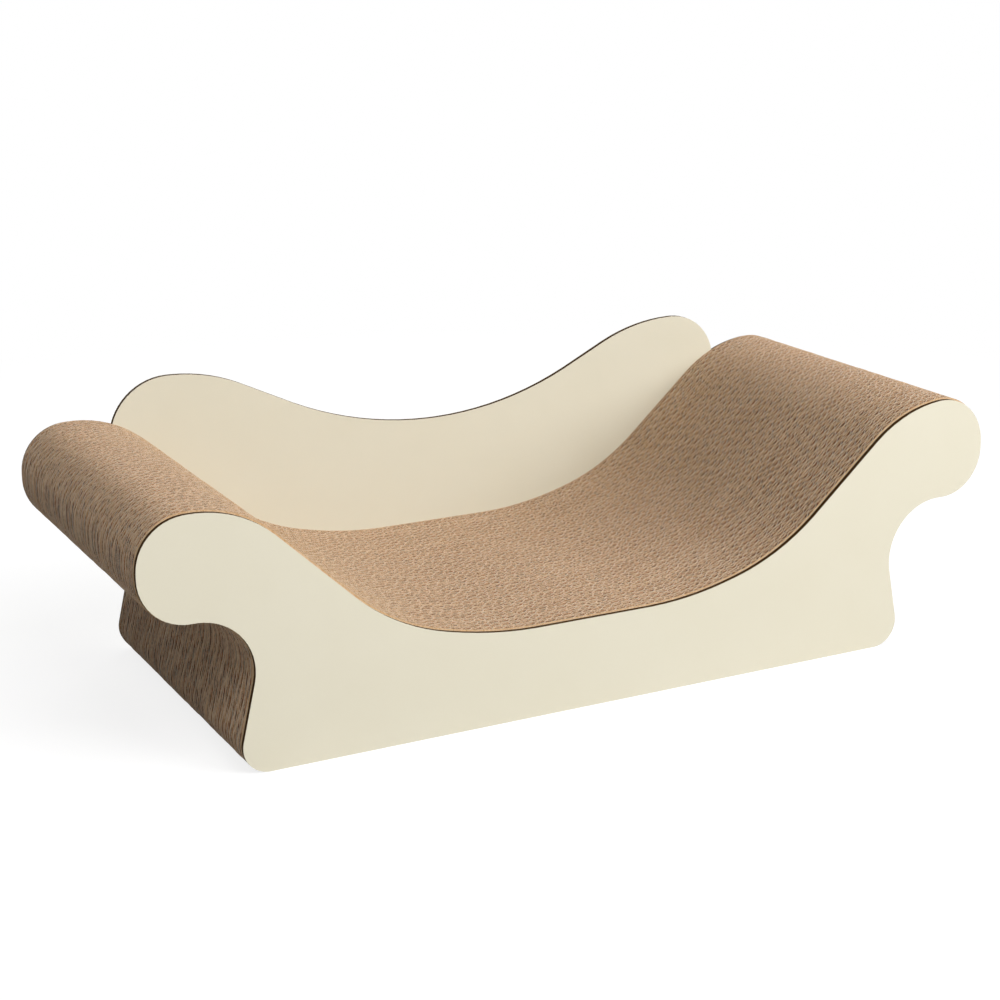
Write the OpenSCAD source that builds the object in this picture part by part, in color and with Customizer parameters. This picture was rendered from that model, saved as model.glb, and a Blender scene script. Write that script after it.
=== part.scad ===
// Cardboard cat scratcher lounge: boards on edge between two paper-faced side panels.
// Millimetres, +Z up. The front panel faces -Y, the raised back stands at +Y.
// The origin lies on the floor under the middle of the length and the width.

/* [Body] */
// Length between the two rounded ends
body_l = 630; // [450:1:850]
// Number of double-wall boards in the core
board_n = 40; // [5:1:50]

/* [Corrugated board] */
// Thickness of a liner sheet
liner_t = 0.3; // [0.15:0.05:0.6]
// Height of the row of coarse flutes, at the front of each board
coarse_h = 3.1; // [1.5:0.02:5]
// Height of the row of fine flutes, at the back of each board
fine_h = 2.06; // [1:0.02:4]

/* [Side panels] */
// Thickness of the solid board in each side panel
panel_t = 3.2; // [1.5:0.1:6]
// Thickness of the paper glued to a panel
facing_t = 0.3; // [0.2:0.05:1]
// How far the core stands proud of the panels, but for their straight lower edges
core_proud = 1; // [0:0.1:3]

/* [Profile, both ends] */
// Height of the underside of the rounded ends
under_z = 103.7; // [75:0.1:130]
// Radius of the lower half of the rounded ends
scroll_low_r = 33.1; // [15:0.1:50]
// Height of the lying surface at its lowest
dip_z = 62.9; // [35:0.1:100]

/* [Profile, left end] */
// Distance from the end to the corner of the foot
foot_l_x = 56.9; // [35:0.1:100]
// Radius of the foot
foot_l_r = 18.7; // [5:0.1:45]
// Distance from the end to the corner of the hollow under it
hollow_l_x = 81.1; // [55:0.1:120]
// Radius of the hollow under the end
hollow_l_r = 35.8; // [10:0.1:65]
// Height of the top corner of the end
scroll_l_z = 171.7; // [140:0.1:205]
// Radius of the top of the end
scroll_l_r = 33.2; // [10:0.1:55]
// Distance from the end to the corner of the shoulder
shoulder_l_x = 65.3; // [50:0.1:100]
// Height of the corner of the shoulder
shoulder_l_z = 175.4; // [140:0.1:205]
// Radius of the shoulder
shoulder_l_r = 77.6; // [20:0.1:130]
// Distance from the end to the corner at the foot of the slope
slope_l_x = 167.6; // [120:0.1:205]
// Height of the corner at the foot of the slope
slope_l_z = 79.3; // [65:0.1:110]
// Radius at the foot of the slope
slope_l_r = 139; // [20:0.1:215]
// Distance from the end to the corner where the dip levels out
dip_l_x = 240.4; // [205:0.1:295]
// Radius where the dip levels out
dip_l_r = 271.6; // [55:0.1:435]

/* [Profile, right end] */
// Distance from the end to the corner of the foot
foot_r_x = 65.1; // [35:0.1:100]
// Radius of the foot
foot_r_r = 18.9; // [5:0.1:45]
// Distance from the end to the corner of the hollow under it
hollow_r_x = 86; // [55:0.1:120]
// Radius of the hollow under the end
hollow_r_r = 39.5; // [10:0.1:65]
// Height of the top corner of the end
scroll_r_z = 180.5; // [140:0.1:205]
// Radius of the top of the end
scroll_r_r = 36.5; // [10:0.1:55]
// Distance from the end to the corner of the shoulder
shoulder_r_x = 71.4; // [50:0.1:100]
// Height of the corner of the shoulder
shoulder_r_z = 173.9; // [140:0.1:205]
// Radius of the shoulder
shoulder_r_r = 94; // [20:0.1:130]
// Distance from the end to the corner at the foot of the slope
slope_r_x = 172.6; // [120:0.1:205]
// Height of the corner at the foot of the slope
slope_r_z = 82.7; // [65:0.1:110]
// Radius at the foot of the slope
slope_r_r = 160.8; // [20:0.1:215]
// Distance from the end to the corner where the dip levels out
dip_r_x = 246.4; // [205:0.1:295]
// Radius where the dip levels out
dip_r_r = 244.4; // [55:0.1:435]

/* [Raised back] */
// Height of the back at its lowest
back_dip_z = 142.4; // [110:0.1:185]
// Distance from the left end to the back's upright edge
back_l_x = 63.5; // [50:0.1:100]
// Height of the left hump of the back
back_l_z = 197.6; // [165:0.1:250]
// Radius of the outer side of the left hump
back_l_r = 43.3; // [10:0.1:65]
// Distance from the left end to the inner corner of the left hump
hump_l_x = 136.3; // [115:0.1:175]
// Radius of the inner side of the left hump
hump_l_r = 124.9; // [20:0.1:215]
// Distance from the left end to the corner where the back levels out
level_l_x = 252.2; // [195:0.1:305]
// Radius where the left hump meets the level part
level_l_r = 262.6; // [55:0.1:435]
// Distance from the right end to the back's upright edge
back_r_x = 69.8; // [50:0.1:100]
// Height of the right hump of the back
back_r_z = 199.2; // [165:0.1:250]
// Radius of the outer side of the right hump
back_r_r = 39; // [10:0.1:65]
// Distance from the right end to the inner corner of the right hump
hump_r_x = 141.9; // [115:0.1:175]
// Radius of the inner side of the right hump
hump_r_r = 140.1; // [20:0.1:215]
// Distance from the right end to the corner where the back levels out
level_r_x = 256.8; // [195:0.1:305]
// Radius where the right hump meets the level part
level_r_r = 262.9; // [55:0.1:435]

/* [Hidden] */
$fn = 96;
board_t = coarse_h + fine_h + 3 * liner_t;
core_w = board_n * board_t;
side_t = panel_t + 2 * facing_t;
body_w = core_w + 2 * side_t;
front_y = -body_w / 2;
core_y = front_y + side_t;
rear_y = core_y + core_w;
// The hidden lower edges of the back's own outline cross the ends and the core below the dip.
back_side_z = (under_z + back_dip_z) / 2;
back_low_z = dip_z / 2;
// How far a rounding's cut runs past the outline.
overrun = 1;
// An arc is this much larger than its tangent circle, so that it crosses the sides it meets.
crossing_share = 0.0001;

kraft = [0.72, 0.58, 0.42];
kraft_dark = [0.66, 0.52, 0.37];
panel_brown = [0.36, 0.27, 0.19];
cream = [0.91, 0.88, 0.81];

// Corners of the core's side outline, each as X from the left end, Z and rounding radius.
// They run clockwise as the front shows them.
core_corners = [
    [foot_l_x, 0, foot_l_r],
    [hollow_l_x, under_z, hollow_l_r],
    [0, under_z, scroll_low_r],
    [0, scroll_l_z, scroll_l_r],
    [shoulder_l_x, shoulder_l_z, shoulder_l_r],
    [slope_l_x, slope_l_z, slope_l_r],
    [dip_l_x, dip_z, dip_l_r],
    [body_l - dip_r_x, dip_z, dip_r_r],
    [body_l - slope_r_x, slope_r_z, slope_r_r],
    [body_l - shoulder_r_x, shoulder_r_z, shoulder_r_r],
    [body_l, scroll_r_z, scroll_r_r],
    [body_l, under_z, scroll_low_r],
    [body_l - hollow_r_x, under_z, hollow_r_r],
    [body_l - foot_r_x, 0, foot_r_r],
];

// Corners of the raised back, whose lower part lies within the core's outline.
back_corners = [
    [back_l_x, back_side_z, 0],
    [back_l_x, back_l_z, back_l_r],
    [hump_l_x, back_l_z, hump_l_r],
    [level_l_x, back_dip_z, level_l_r],
    [body_l - level_r_x, back_dip_z, level_r_r],
    [body_l - hump_r_x, back_r_z, hump_r_r],
    [body_l - back_r_x, back_r_z, back_r_r],
    [body_l - back_r_x, back_side_z, 0],
    [body_l - dip_r_x, back_low_z, 0],
    [dip_l_x, back_low_z, 0],
];

function flat(corner) = [corner[0], corner[1]];
function unit(v) = v / norm(v);
function before(c, i) = (i + len(c) - 1) % len(c);
function after(c, i) = (i + 1) % len(c);
function side_to(c, i, j) = flat(c[j]) - flat(c[i]);
// Half the angle between the two sides that meet in a corner.
function half_angle(c, i) =
    acos(unit(side_to(c, i, before(c, i))) * unit(side_to(c, i, after(c, i)))) / 2;
// Length that a corner's rounding asks for on each of its sides.
function asked(c, i) = c[i][2] / tan(half_angle(c, i));
// Share of it that fits, where two roundings meet on one side.
function fits(c, i, j) = min(1, norm(side_to(c, i, j)) / (asked(c, i) + asked(c, j)));
function reach(c, i) = asked(c, i) * min(fits(c, i, before(c, i)), fits(c, i, after(c, i)));

function crossed(a, b) = a[0] * b[1] - a[1] * b[0];
function turns_left(c, i) = crossed(side_to(c, before(c, i), i), side_to(c, i, after(c, i))) > 0;

// Inward direction of the side that leaves a corner.
function inward(c, i) =
    let (along = unit(side_to(c, i, after(c, i))))
    [along[1], -along[0]];
// The last side is the straight lower edge, which stays where it is.
function inset(c, i) = i == len(c) - 1 ? 0 : core_proud;
function inset_corner(c, i) =
    let (
        m = inward(c, before(c, i)), n = inward(c, i),
        a = inset(c, before(c, i)), b = inset(c, i)
    )
    flat(c[i]) + [a * n[1] - b * m[1], b * m[0] - a * n[0]] / crossed(m, n);
function inset_radius(c, i) = c[i][2] + (turns_left(c, i) ? core_proud : -core_proud);

// What lies between a corner and its rounding, with an overrun past the corner's two sides.
module corner_waste(c, i) {
    p = flat(c[i]);
    u = unit(side_to(c, i, before(c, i)));
    v = unit(side_to(c, i, after(c, i)));
    half = half_angle(c, i);
    r = reach(c, i) * tan(half);
    middle = p + unit(u + v) * r / sin(half);
    past = (r + overrun) / r;
    difference() {
        polygon([
            middle,
            middle + (p + u * reach(c, i) - middle) * past,
            middle + (p - middle) * past,
            middle + (p + v * reach(c, i) - middle) * past,
        ]);
        translate(middle) circle(r = r * (1 + crossing_share));
    }
}

// Stands a side outline up, with its front face at y.
module stand(y, thickness) {
    translate([-body_l / 2, y + thickness, 0])
        rotate([90, 0, 0])
            linear_extrude(height = thickness) children();
}

// An upright sheet cut to an outline with true arcs at its corners.
module sheet(c, y, thickness) {
    difference() {
        union() {
            stand(y, thickness) polygon([for (corner = c) flat(corner)]);
            for (i = [0 : len(c) - 1]) if (c[i][2] > 0 && turns_left(c, i))
                stand(y, thickness) corner_waste(c, i);
        }
        for (i = [0 : len(c) - 1]) if (c[i][2] > 0 && !turns_left(c, i))
            stand(y - overrun, thickness + 2 * overrun) corner_waste(c, i);
    }
}

panel_corners = [
    for (i = [0 : len(core_corners) - 1])
        concat(inset_corner(core_corners, i), [inset_radius(core_corners, i)])
];

module front_sheet(y, thickness) {
    sheet(panel_corners, y, thickness);
}

module rear_sheet(y, thickness) {
    front_sheet(y, thickness);
    sheet(back_corners, y, thickness);
}

module core_board(i) {
    color(i % 2 == 0 ? kraft : kraft_dark)
        sheet(core_corners, core_y + i * board_t, board_t);
}

module front_facing_outer() {
    color(cream) front_sheet(front_y, facing_t);
}

module front_panel() {
    color(panel_brown) front_sheet(front_y + facing_t, panel_t);
}

module front_facing_inner() {
    color(cream) front_sheet(front_y + facing_t + panel_t, facing_t);
}

module rear_facing_inner() {
    color(cream) rear_sheet(rear_y, facing_t);
}

module rear_panel() {
    color(panel_brown) rear_sheet(rear_y + facing_t, panel_t);
}

module rear_facing_outer() {
    color(cream) rear_sheet(rear_y + facing_t + panel_t, facing_t);
}

function two_digits(n) = n < 10 ? str("0", n) : str(n);
function board_name(i) = str("core_board_", two_digits(i + 1));

front_facing_outer();
front_panel();
front_facing_inner();
for (i = [0 : board_n - 1]) core_board(i);
rear_facing_inner();
rear_panel();
rear_facing_outer();
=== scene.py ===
"""Looks of a cardboard cat scratcher lounge.

Fluted boards stand on edge between two brown side panels faced with cream paper.
Lengths are in metres. A value whose name ends in SHARE is a part of the length given beside it.
"""

import math
import random

import bpy
from mathutils import Matrix, Vector


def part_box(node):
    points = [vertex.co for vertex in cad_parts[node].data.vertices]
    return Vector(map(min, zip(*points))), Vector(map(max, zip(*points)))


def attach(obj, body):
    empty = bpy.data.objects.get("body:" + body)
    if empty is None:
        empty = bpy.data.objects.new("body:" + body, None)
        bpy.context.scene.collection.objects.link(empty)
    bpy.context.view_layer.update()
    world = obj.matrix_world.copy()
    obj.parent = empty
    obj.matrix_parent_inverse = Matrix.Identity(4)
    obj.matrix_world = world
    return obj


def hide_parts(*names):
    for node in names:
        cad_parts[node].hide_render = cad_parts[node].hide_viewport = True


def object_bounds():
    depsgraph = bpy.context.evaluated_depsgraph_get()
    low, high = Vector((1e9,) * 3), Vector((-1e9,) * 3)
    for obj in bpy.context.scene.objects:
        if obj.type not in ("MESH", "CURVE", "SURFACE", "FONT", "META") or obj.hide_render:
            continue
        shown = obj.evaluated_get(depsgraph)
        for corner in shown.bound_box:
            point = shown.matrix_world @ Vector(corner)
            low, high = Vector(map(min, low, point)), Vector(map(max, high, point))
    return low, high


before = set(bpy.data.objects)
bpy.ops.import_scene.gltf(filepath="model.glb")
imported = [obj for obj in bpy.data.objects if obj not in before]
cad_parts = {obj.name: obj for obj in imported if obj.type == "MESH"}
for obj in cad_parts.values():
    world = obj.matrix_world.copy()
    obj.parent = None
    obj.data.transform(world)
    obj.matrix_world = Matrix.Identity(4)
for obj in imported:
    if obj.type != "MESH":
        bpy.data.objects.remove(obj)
cad_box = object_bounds()

# A double-wall board: a coarse row of flutes in front, a fine row behind it, and three liners.
COARSE_FLUTE = 0.00766
FINE_FLUTE = 0.00648
COARSE_ROW = 0.0031
LINER = 0.0003
LINERS = 3
FLUTED_PAPER = 0.00045

boards = sorted(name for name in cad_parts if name.startswith("core_board"))
board_low, board_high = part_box(boards[0])
BOARD = board_high.y - board_low.y
FINE_ROW = BOARD - COARSE_ROW - LINERS * LINER
MIDDLE_LINER = LINER + COARSE_ROW

# The folds of a fluted paper are rounded, and some are crushed or out of step.
ROUNDED_SHARE = 0.17  # of a flute
ROUNDED_FACES = 2
SLIDES = 5  # places to which a fold slides along the board
SLIDE_SHARE = 0.04  # of a flute, from one place to the next
CRUSHES = (0, 0, 0, 0, 1, 2)  # steps by which a fold is crushed, most often none
CRUSH_SHARE = 0.07  # of the row's depth, for one step

# A board is cut from a longer blank, and lies a little askew in the stack.
BLANK_SPARE = 0.06
SHIFT_SHARE = 0.9  # of the spare length, by which the cut moves at most
BOARD_SLACK = 0.0002

CUT_FACE_LEAN = 0.2  # a face that looks sideways less than this is a cut edge
SAME_POINT = 0.000001

chance = random.Random(7)


def only(*pieces):
    """Selects these pieces and nothing else."""
    bpy.ops.object.select_all(action="DESELECT")
    for piece in pieces:
        piece.select_set(True)
    bpy.context.view_layer.objects.active = pieces[0]


def pick(piece, kind, wanted):
    """Opens a piece in edit mode with those of its vertices or edges selected that are wanted."""
    only(piece)
    bpy.ops.object.mode_set(mode="EDIT")
    bpy.ops.mesh.select_mode(type=kind)
    bpy.ops.mesh.select_all(action="DESELECT")
    bpy.ops.object.mode_set(mode="OBJECT")
    for part in {"VERT": piece.data.vertices, "EDGE": piece.data.edges}[kind]:
        part.select = wanted(part)
    bpy.ops.object.mode_set(mode="EDIT")


def pick_all(piece):
    """Opens a piece in edit mode with the whole of it selected."""
    pick(piece, "VERT", lambda vertex: True)


def close(piece):
    """Leaves edit mode."""
    bpy.ops.object.mode_set(mode="OBJECT")
    return piece


def apply_modifier(piece, kind, **settings):
    """Adds a modifier with these settings and applies it."""
    modifier = piece.modifiers.new(kind.lower(), kind)
    for setting, value in settings.items():
        setattr(modifier, setting, value)
    only(piece)
    bpy.ops.object.modifier_apply(modifier=modifier.name)


def copy_of(piece, name):
    """A copy of a piece with its own mesh."""
    copy = bpy.data.objects.new(name, piece.data.copy())
    bpy.context.scene.collection.objects.link(copy)
    return copy


def outline_of(node, name):
    """A merged copy of a node, still in the node's place."""
    piece = copy_of(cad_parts[node], name)
    pick_all(piece)
    bpy.ops.mesh.remove_doubles(threshold=SAME_POINT)
    return close(piece)


def set_faces(sheet, low_y, high_y):
    """Moves a sheet's two faces to these places along the width."""
    places = [vertex.co.y for vertex in sheet.data.vertices]
    middle = sum(places) / len(places)
    pick(sheet, "VERT", lambda vertex: vertex.co.y < middle)
    bpy.ops.transform.translate(value=(0, low_y - min(places), 0))
    bpy.ops.mesh.select_all(action="INVERT")
    bpy.ops.transform.translate(value=(0, high_y - max(places), 0))
    return close(sheet)


def paper_strip(name, folds, length):
    """A flat strip of paper on edge, creased upright where the folds come.

    It stands out past the board by a board's thickness, above and below.
    """
    bpy.ops.object.select_all(action="DESELECT")
    bpy.ops.mesh.primitive_grid_add(x_subdivisions=folds, y_subdivisions=1, size=1)
    paper = bpy.context.object
    paper.name = name
    paper.scale = (length, board_high.z - board_low.z + 2 * BOARD, 1)
    paper.rotation_euler = (math.pi / 2, 0, 0)
    paper.location = (0, 0, (board_high.z + board_low.z) / 2)
    bpy.ops.object.transform_apply(location=True, rotation=True, scale=True)
    return paper


def bend_folds(paper, number, flute, row):
    """Moves every other fold to the row's far side, and puts some folds out of step."""
    slides = [chance.randrange(SLIDES) for fold in range(max(number) + 1)]
    crushes = [chance.choice(CRUSHES) for fold in range(max(number) + 1)]

    def move(wanted, offset):
        pick(paper, "VERT", lambda vertex: wanted(number[vertex.index]))
        bpy.ops.transform.translate(value=offset)
        close(paper)

    move(lambda fold: fold % 2 == 0, (0, row, 0))
    for slide in range(SLIDES):
        along = (slide - SLIDES // 2) * flute * SLIDE_SHARE
        move(lambda fold: slides[fold] == slide, (along, 0, 0))
    for crush in range(1, max(CRUSHES) + 1):
        for side in (0, 1):
            inwards = (2 * side - 1) * crush * row * CRUSH_SHARE
            move(lambda fold: crushes[fold] == crush and fold % 2 == side, (0, inwards, 0))


def round_folds(paper, number, flute):
    """Rounds every fold between the strip's two ends."""

    def is_fold(edge):
        low, high = (number[index] for index in edge.vertices)
        return low == high and 0 < low < max(number)

    pick(paper, "EDGE", is_fold)
    bpy.ops.mesh.bevel(offset=flute * ROUNDED_SHARE, segments=ROUNDED_FACES, affect="EDGES")
    close(paper)


def fit_between_liners(paper, low_y, row):
    """Draws the paper out until its outermost points meet the liners.

    Its two ends aren't rounded, so they reach the far liner and the folds stop just short of it.
    """
    places = [vertex.co.y for vertex in paper.data.vertices]
    low = min(places)
    pick_all(paper)
    bpy.ops.transform.resize(value=(1, row / (max(places) - low), 1), center_override=(0, low, 0))
    bpy.ops.transform.translate(value=(0, low_y - low, 0))
    close(paper)


def fluted_paper(name, low_y, flute, row):
    """A long strip of paper, folded to and fro at each half wave, with round folds."""
    folds = 2 * math.ceil((cad_box[1].x - cad_box[0].x + 2 * BLANK_SPARE) / flute)
    paper = paper_strip(name, folds, folds * flute / 2)

    # The number of the fold that each vertex lies on, counted from the left.
    left = min(vertex.co.x for vertex in paper.data.vertices)
    number = [round((vertex.co.x - left) / (flute / 2)) for vertex in paper.data.vertices]
    bend_folds(paper, number, flute, row)
    round_folds(paper, number, flute)
    apply_modifier(paper, "SOLIDIFY", thickness=FLUTED_PAPER, offset=0, use_even_offset=True)
    fit_between_liners(paper, low_y, row)
    return paper


def board_blank():
    """Both fluted papers of a board before it is cut to its outline, the coarse one in front."""
    coarse = fluted_paper("coarse_row", board_low.y + LINER, COARSE_FLUTE, COARSE_ROW)
    fine = fluted_paper("fine_row", board_low.y + MIDDLE_LINER + LINER, FINE_FLUTE, FINE_ROW)
    only(coarse, fine)
    bpy.ops.object.join()
    return coarse


def cut_board(blank, outline, number, node):
    """One fluted board: cut from the blank at any place along it, and stacked a little askew."""
    board = copy_of(blank, "fluted_board_%02d" % (number + 1))
    pick_all(board)
    shift = chance.uniform(-BLANK_SPARE, BLANK_SPARE) * SHIFT_SHARE
    bpy.ops.transform.translate(value=(shift, 0, 0))
    close(board)
    apply_modifier(board, "BOOLEAN", operation="INTERSECT", solver="MANIFOLD", object=outline)
    liners = []
    for place in (0, MIDDLE_LINER, BOARD - LINER):
        low = board_low.y + place
        liners.append(set_faces(copy_of(outline, "liner"), low, low + LINER))
    only(board, *liners)
    bpy.ops.object.join()

    shorter = 1 - 2 * BOARD_SLACK / (board_high.x - board_low.x)
    pick_all(board)
    bpy.ops.transform.resize(value=(shorter, 1, 1), center_override=(0, 0, 0))
    askew = (
        chance.uniform(-BOARD_SLACK, BOARD_SLACK),
        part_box(node)[0].y - board_low.y,
        chance.uniform(0, BOARD_SLACK),
    )
    bpy.ops.transform.translate(value=askew)
    return close(board)


def linear(red, green, blue):
    """A colour given by its screen values, from 0 to 255, as the shaders take it."""
    return tuple(
        (c / 255 / 12.92 if c <= 10 else ((c / 255 + 0.055) / 1.055) ** 2.4)
        for c in (red, green, blue)
    ) + (1,)


def grey(share):
    """A grey that throws back this share of the light."""
    return (share, share, share, 1)


class Wire:
    """A shader socket that can be used in sums, each of which adds a Math node."""

    def __init__(self, finish, socket):
        self.finish = finish
        self.socket = socket

    def math(self, operation, *values):
        """A Math node that works on these values."""
        return self.finish.node("Math", {"operation": operation}, dict(enumerate(values)))

    def __add__(self, other):
        return self.math("ADD", self, other)

    def __radd__(self, other):
        return self.math("ADD", other, self)

    def __sub__(self, other):
        return self.math("SUBTRACT", self, other)

    def __rsub__(self, other):
        return self.math("SUBTRACT", other, self)

    def __mul__(self, other):
        return self.math("MULTIPLY", self, other)

    def __rmul__(self, other):
        return self.math("MULTIPLY", other, self)

    def __truediv__(self, other):
        return self.math("DIVIDE", self, other)

    def __rtruediv__(self, other):
        return self.math("DIVIDE", other, self)


class Finish:
    """The nodes of a material or of the world, with one way to add any node."""

    def __init__(self, owner):
        owner.use_nodes = True
        self.owner = owner
        self.tree = owner.node_tree
        self.tree.nodes.clear()

    def node(self, kind, settings, sockets, out=0):
        """Adds a node, sets its settings and then its sockets, and returns one of its outputs."""
        made = self.tree.nodes.new("ShaderNode" + kind)
        for setting, value in settings.items():
            setattr(made, setting, value)
        for socket, value in sockets.items():
            if isinstance(value, Wire):
                self.tree.links.new(value.socket, made.inputs[socket])
            else:
                made.inputs[socket].default_value = value
        return Wire(self, made.outputs[out]) if made.outputs else None

    def place(self):
        """Where a point lies on the piece, in the lounge's own axes."""
        return self.node("TexCoord", {}, {}, out="Object")

    def along(self, axis):
        """How far out a point lies along the X, Y or Z axis."""
        return self.node("SeparateXYZ", {}, {"Vector": self.place()}, out=axis)

    def noise(self, size, detail=3, stretch=(1, 1, 1)):
        """Noise whose blotches are about one size across, stretched along the axes."""
        scale = tuple(1 / (size * s) for s in stretch)
        where = self.node("Mapping", {}, {"Vector": self.place(), "Scale": scale})
        return self.node("TexNoise", {}, {"Vector": where, "Scale": 1.0, "Detail": detail})

    def between(self, value, low, high):
        """Stretches a value so that low becomes 0 and high becomes 1."""
        return self.node("MapRange", {}, {0: value, 1: low, 2: high, 3: 0.0, 4: 1.0})

    def swing(self, value, amount):
        """Turns a value from 0 to 1 into one that swings about 0, by this much in all."""
        return (value - 0.5) * amount

    def blend(self, share, first, second):
        """Two colours mixed, with a share of the second."""
        return self.node("Mix", {"data_type": "RGBA"}, {0: share, 6: first, 7: second}, out=2)

    def bump(self, height, distance, strength):
        """The surface's direction over a fine relief."""
        sockets = {"Height": height, "Distance": distance, "Strength": strength}
        return self.node("Bump", {}, sockets)

    def paper_shader(self, **sockets):
        """The finished surface of a material, with its sockets given by name."""
        named = {name.replace("_", " "): value for name, value in sockets.items()}
        self.node("OutputMaterial", {}, {"Surface": self.node("BsdfPrincipled", {}, named)})
        return self.owner


# Painted shade: ambient occlusion darkens kraft paper's colour down in the flutes, from its own
# colour to a painted shade colour, and to a darker painted shade in the hollow.
SHADED_DEPTH = 0.008
PAINTED_SHADE_INSIDE = linear(168, 82, 16)
PAINTED_SHADE_HOLLOW = linear(66, 26, 4)
# Openness ranges over which the hollow's darker painted shade gives way to the lighter one, and
# that to the paper's own colour.
INSIDE_OPENNESS = (0.15, 0.25)  # the hollow's colour gives way to that inside
FACE_OPENNESS = (0.25, 0.38)  # that inside gives way to the paper's own


def kraft(name, pale, deep):
    """Brown recycled paper, pale where it is open to the air, with painted shade darkening it
    down in the flutes.
    """
    finish = Finish(bpy.data.materials.new(name))
    board = finish.node(
        "Math", {"operation": "FLOOR"}, {0: (finish.along("Y") - board_low.y) / BOARD}
    )
    own_tone = finish.node("TexWhiteNoise", {"noise_dimensions": "1D"}, {"W": board})
    fibres = finish.noise(size=0.0016, stretch=(1, 1, 12))
    fibres = finish.between(fibres, low=0.35, high=0.65)
    frayed = finish.noise(size=0.0008, detail=2, stretch=(1, 1, 4))
    frayed = finish.between(frayed, low=0.3, high=0.7)
    crushed = finish.noise(size=0.0015, detail=0, stretch=(1, 1, 8))
    crushed = finish.between(crushed, low=0.3, high=0.7)
    clouds = finish.noise(size=0.03, detail=2)
    paleness = own_tone * 0.1 + fibres * 0.3 + frayed * 0.4 + clouds * 0.2
    colour = finish.blend(paleness, deep, pale)
    # How open each point is to the air within the shaded depth; it sets where the painted shade
    # goes.
    openness = finish.node(
        "AmbientOcclusion",
        {"samples": 4, "only_local": True},
        {"Distance": SHADED_DEPTH},
        out="AO",
    )
    openness = openness + finish.swing(crushed, 0.12) + finish.swing(frayed, 0.3)
    # Painted shade: the colour that stands for the shade in the flutes, darkest in the hollow.
    painted_shade = finish.blend(finish.between(openness, *INSIDE_OPENNESS), PAINTED_SHADE_HOLLOW, PAINTED_SHADE_INSIDE)
    return finish.paper_shader(
        # The paper's own colour, with painted shade laid over it where the flutes are less open.
        Base_Color=finish.blend(finish.between(openness, *FACE_OPENNESS), painted_shade, colour),
        Roughness=0.9,
        Specular_IOR_Level=0.05,
        Sheen_Weight=0.5,
        Sheen_Roughness=0.5,
        Normal=finish.bump(fibres, distance=0.0001, strength=0.6),
    )


def brown_board():
    """The solid board of a side panel, made of thin brown layers."""
    finish = Finish(bpy.data.materials.new("brown_board"))
    layers = finish.noise(size=0.0005, stretch=(30, 1, 30))
    fibres = finish.noise(size=0.0008, detail=4)
    paleness = layers * 0.6 + fibres * 0.4
    return finish.paper_shader(
        Base_Color=finish.blend(paleness, linear(52, 34, 15), linear(90, 64, 34)),
        Roughness=0.9,
        Specular_IOR_Level=0.1,
        Normal=finish.bump(layers, distance=0.0001, strength=0.8),
    )


def cream_paper():
    """Smooth uncoated paper with faint clouds and a very fine tooth."""
    finish = Finish(bpy.data.materials.new("cream_paper"))
    clouds = finish.noise(size=0.05)
    tooth = finish.noise(size=0.0007)
    paleness = clouds * 0.7 + tooth * 0.3
    return finish.paper_shader(
        Base_Color=finish.blend(paleness, linear(227, 220, 197), linear(233, 227, 207)),
        Roughness=0.62,
        Normal=finish.bump(tooth, distance=0.00002, strength=0.5),
    )


def paint(piece, *materials):
    """Gives a piece these materials in place of any that it has."""
    piece.data.materials.clear()
    for material in materials:
        piece.data.materials.append(material)


# The core: every board is cut from one fluted blank.
paper_face = kraft("kraft_paper", pale=linear(238, 208, 169), deep=linear(197, 149, 96))
paper_edge = kraft("kraft_cut_edge", pale=linear(247, 233, 206), deep=linear(224, 193, 151))
blank = board_blank()
outline = outline_of(boards[0], "cutting_outline")
for number, node in enumerate(boards):
    board = cut_board(blank, outline, number, node)
    paint(board, paper_face, paper_edge)
    for face in board.data.polygons:
        face.material_index = 1 if abs(face.normal.y) < CUT_FACE_LEAN else 0
    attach(board, "root")
    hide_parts(node)
bpy.data.objects.remove(blank)
bpy.data.objects.remove(outline)

# The side panels keep their nodes and get their finish.
panel_finish = brown_board()
facing_finish = cream_paper()
for side in ("front", "rear"):
    for sheet, finish in (
        ("facing_outer", facing_finish),
        ("panel", panel_finish),
        ("facing_inner", facing_finish),
    ):
        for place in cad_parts[side + "_" + sheet].material_slots:
            place.material = finish

# The floor is white to the camera, and lights the object as a pale grey one does.
FLOOR_SIZE = 40
FLOOR_PAPER = grey(0.45)
SHADED_PAPER = grey(0.3)
WHITE = grey(1)
SHADED_GLOW = 0.82
SHADOW_FADES = (0.45, 1.1)  # between these distances from the middle

# Square lamps, each with its place and its power in watts, and a world that gives little light.
LAMP_SIZE = 1.9
LAMPS = (
    ("front_right_light", (1.95, -2.65, 1.6), 98),
    ("high_front_light", (0, -2.2, 2.9), 42),
    ("high_back_light", (1.1, 2.2, 2.7), 15),
    ("low_back_light", (-0.7, 3.4, 0.9), 40),
)
WORLD_LIGHT = 0.15

# The photograph's camera, with its angles in degrees and its lens in millimetres.
CAMERA_PLACE = (-0.6537, -1.2398, 0.5255)
CAMERA_HEADING = -27.455
CAMERA_TILT = 16.536
CAMERA_ROLL = -0.258
FOCAL_LENGTH = 74.63
SENSOR_WIDTH = 36


def background_rays(finish):
    """1 for what the camera sees straight, in gloss or through glass."""
    camera, glossy, glass = (
        finish.node("LightPath", {}, {}, out="Is %s Ray" % ray)
        for ray in ("Camera", "Glossy", "Transmission")
    )
    clamped_sum = {"operation": "ADD", "use_clamp": True}
    return finish.node("Math", clamped_sum, {0: camera + glossy, 1: glass})


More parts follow.
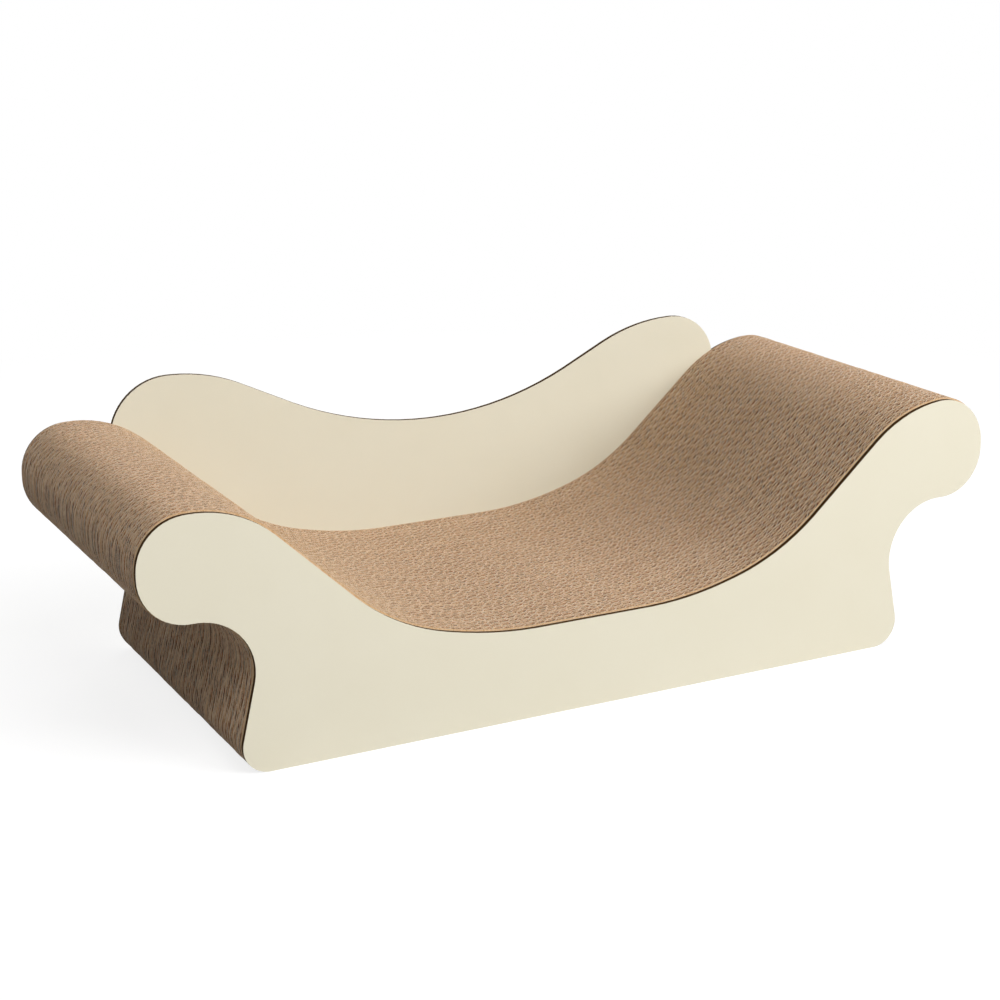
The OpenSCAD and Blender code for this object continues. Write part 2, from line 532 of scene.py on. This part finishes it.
def pale_floor():
    """White to the camera, with the object's soft shadow left on it near the object."""
    finish = Finish(bpy.data.materials.new("pale_floor"))
    paper = finish.node("BsdfDiffuse", {}, {"Color": FLOOR_PAPER})
    shaded = finish.node("BsdfDiffuse", {}, {"Color": SHADED_PAPER})
    glow = finish.node("Emission", {}, {"Color": WHITE, "Strength": SHADED_GLOW})
    near = finish.node("AddShader", {}, {0: shaded, 1: glow})
    far = finish.node("Emission", {}, {"Color": WHITE, "Strength": 1.0})
    away = finish.node("VectorMath", {"operation": "LENGTH"}, {0: finish.place()}, out="Value")
    distance = finish.between(away, *SHADOW_FADES)
    seen = finish.node("MixShader", {}, {0: distance, 1: near, 2: far})

    # Below the object nothing glows, because it would show through the open flutes.
    foot = min(
        abs(vertex.co.x)
        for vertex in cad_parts["front_panel"].data.vertices
        if vertex.co.z < board_low.z + LINER
    )
    clear = 0.0
    for axis, reach in (("X", foot), ("Y", abs(board_low.y))):
        along = finish.along(axis)
        clear = clear + along.math("GREATER_THAN", along.math("ABSOLUTE", along), reach)
    shown = background_rays(finish) * finish.between(clear, 0.0, 1.0)
    floor_shader = finish.node("MixShader", {}, {0: shown, 1: paper, 2: seen})
    finish.node("OutputMaterial", {}, {"Surface": floor_shader})
    return finish.owner


def studio_lamp(name, place, power):
    """A square soft light that faces the object."""
    lamp = bpy.data.lights.new(name, "AREA")
    lamp.shape = "SQUARE"
    lamp.size = LAMP_SIZE
    lamp.energy = power
    holder = bpy.data.objects.new(name, lamp)
    holder.location = place
    holder.rotation_euler = Vector(place).to_track_quat("Z", "Y").to_euler()
    bpy.context.scene.collection.objects.link(holder)


def studio_world():
    """A white background, which gives only a little light."""
    world = bpy.data.worlds.new("studio")
    finish = Finish(world)
    dim = finish.node("Background", {}, {"Color": WHITE, "Strength": WORLD_LIGHT})
    white = finish.node("Background", {}, {"Color": WHITE, "Strength": 1.0})
    seen = finish.node("MixShader", {}, {0: background_rays(finish), 1: dim, 2: white})
    finish.node("OutputWorld", {}, {"Surface": seen})
    return world


def photograph_camera():
    """A camera with the photograph's place, direction and angle of view."""
    lens = bpy.data.cameras.new("camera")
    lens.sensor_width = SENSOR_WIDTH
    lens.lens = FOCAL_LENGTH
    camera = bpy.data.objects.new("camera", lens)
    bpy.context.scene.collection.objects.link(camera)
    turn = (
        Matrix.Rotation(math.radians(CAMERA_HEADING), 4, "Z")
        @ Matrix.Rotation(math.pi / 2 - math.radians(CAMERA_TILT), 4, "X")
        @ Matrix.Rotation(math.radians(CAMERA_ROLL), 4, "Z")
    )
    camera.matrix_world = Matrix.Translation(CAMERA_PLACE) @ turn
    return camera


bpy.ops.object.select_all(action="DESELECT")
bpy.ops.mesh.primitive_plane_add(size=FLOOR_SIZE)
floor = bpy.context.object
floor.name = "floor"
paint(floor, pale_floor())
for lamp in LAMPS:
    studio_lamp(*lamp)
bpy.context.scene.world = studio_world()
bpy.context.scene.camera = photograph_camera()
bpy.context.scene.view_settings.view_transform = "Standard"
